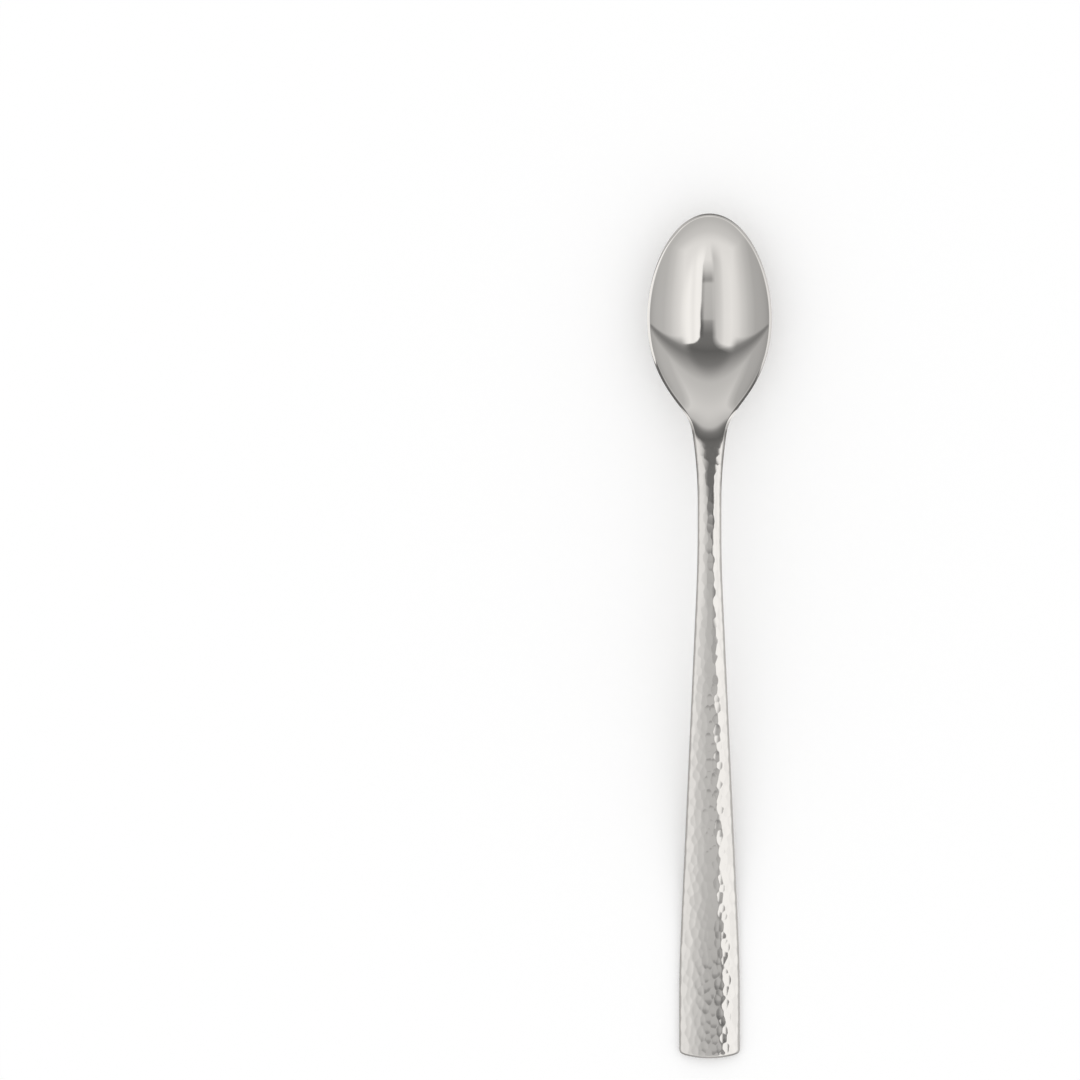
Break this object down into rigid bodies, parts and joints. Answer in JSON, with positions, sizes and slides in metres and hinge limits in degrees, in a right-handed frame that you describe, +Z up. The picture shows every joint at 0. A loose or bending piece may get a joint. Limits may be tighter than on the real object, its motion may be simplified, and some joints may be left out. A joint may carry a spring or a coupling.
{
  "type": "iced tea spoon",
  "caption": "Long-handled iced tea spoon in polished stainless steel, with an oval bowl, a slim arched neck and a tapering handle with a hammered front.",
  "frame": {"origin": "on the table, below the middle of the spoon's length and width", "axes": "+Y along the spoon towards the tip of the bowl, +Z up out of the bowl's hollow, +X across the spoon"},
  "size_m": [0.0286, 0.194, 0.0146],
  "materials": {
    "polished_steel": "mirror-polished stainless steel",
    "hammered_steel": "polished stainless steel with shallow hammer marks on the front, smooth on the sides and back"
  },
  "bodies": {
    "root": {"bowl": "polished_steel", "neck": "hammered_steel", "handle": "hammered_steel"}
  },
  "joints": []
}
